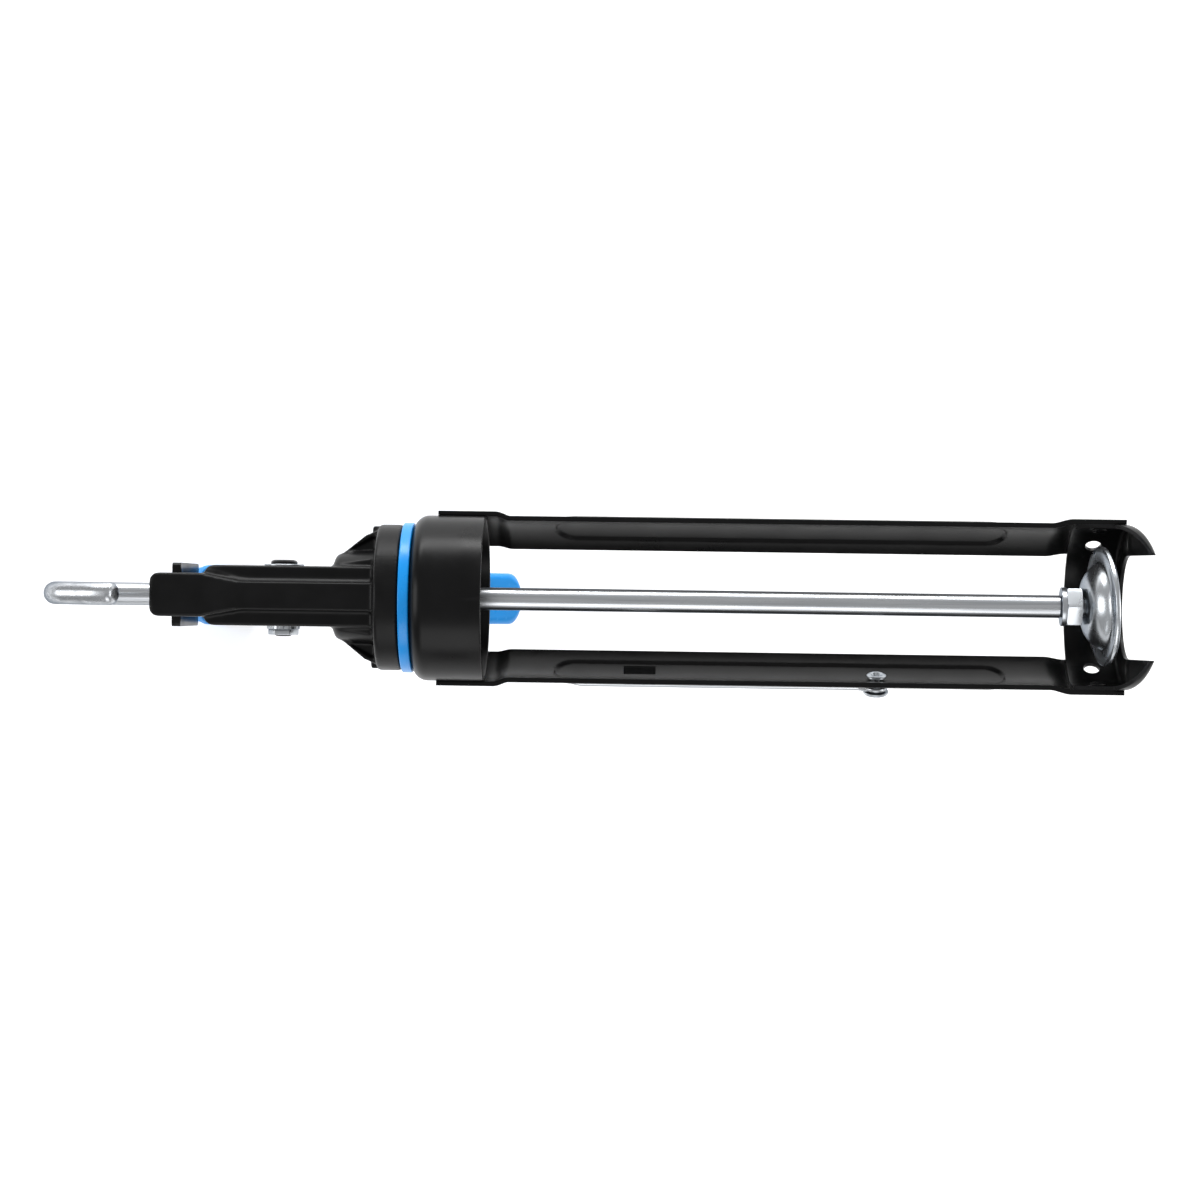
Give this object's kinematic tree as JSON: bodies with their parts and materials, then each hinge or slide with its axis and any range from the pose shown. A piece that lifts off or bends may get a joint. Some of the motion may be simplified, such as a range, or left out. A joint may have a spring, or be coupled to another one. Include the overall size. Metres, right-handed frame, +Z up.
{
  "type": "caulking gun",
  "caption": "Skeleton caulking gun with a swivelling two-rail cradle, push rod with plunger, squeeze trigger, rear release plate and fold-out piercing pin.",
  "frame": {"origin": "on the push rod's axis, at the inner face of the rear collar's back wall", "axes": "+X along the rod to the nozzle end, +Z up with the handle hanging towards -Z, +Y to the left"},
  "size_m": [0.3616, 0.0607, 0.1497],
  "materials": {
    "black_casting": "semi-gloss",
    "black_steel": "semi-gloss",
    "blue_plastic": "glossy",
    "blue_rubber": "satin",
    "zinc_steel": "bright zinc",
    "bronze": "satin"
  },
  "bodies": {
    "handle": {"body_casting": "black_casting", "grip_backstrap": "blue_rubber", "rod_bush": "bronze", "swivel_ring": "blue_plastic", "swivel_retainer": "zinc_steel", "trigger_pivot_bolt": "black_steel", "trigger_pivot_washer": "zinc_steel", "trigger_pivot_nut": "zinc_steel", "main_spring": "zinc_steel", "release_spring": "zinc_steel"},
    "cradle": {"rear_collar": "black_steel", "front_cup": "black_steel", "left_rail": "black_steel", "right_rail": "black_steel", "cradle_rivets": "black_steel", "pin_rivet": "zinc_steel", "pin_washer": "zinc_steel"},
    "piercing_pin": {"piercing_pin": "zinc_steel"},
    "rod": {"push_rod": "zinc_steel", "plunger_nut": "zinc_steel", "plunger_end_nut": "zinc_steel", "plunger_lock_washer": "zinc_steel"},
    "plunger": {"plunger_disc": "zinc_steel"},
    "trigger": {"trigger_lever": "blue_plastic", "trigger_nose_pin": "zinc_steel"},
    "drive": {"drive_plate_rear": "zinc_steel", "drive_plate_front": "zinc_steel"},
    "release": {"release_plate": "black_steel"}
  },
  "joints": [
    {"name": "cradle_swivel", "type": "hinge", "parent": "handle", "child": "cradle", "pos_m": [0, 0, 0], "axis": [1, 0, 0], "continuous": true},
    {"name": "pin_swing", "type": "hinge", "parent": "cradle", "child": "piercing_pin", "pos_m": [0.152, -0.02763, -0.01033], "axis": [0, 0.9367, 0.3502], "range_deg": [0, 165]},
    {"name": "rod_slide", "type": "slide", "parent": "handle", "child": "rod", "axis": [1, 0, 0], "range_m": [-0.205, 0]},
    {"name": "plunger_rock", "type": "hinge", "parent": "rod", "child": "plunger", "pos_m": [0.2199, 0, 0], "axis": [0, 1, 0], "range_deg": [-14, 0]},
    {"name": "trigger_squeeze", "type": "hinge", "parent": "handle", "child": "trigger", "pos_m": [-0.0463, 0, -0.013], "axis": [0, 1, 0], "range_deg": [0, 31], "stiffness_Nm_per_rad": 0.8, "springref_deg": -22.92},
    {"name": "plate_advance", "type": "slide", "parent": "handle", "child": "drive", "axis": [1, 0, 0], "range_m": [0, 0.0037], "deforming": ["main_spring"]},
    {"name": "release_press", "type": "hinge", "parent": "handle", "child": "release", "pos_m": [-0.0802, 0, 0.009], "axis": [0, 1, 0], "range_deg": [-6, 0], "stiffness_Nm_per_rad": 1, "springref_deg": 8.59, "deforming": ["release_spring"]}
  ],
  "couplings": [
    {"joint": "plate_advance", "follows": "trigger_squeeze", "m_per_rad": 0.0065}
  ]
}
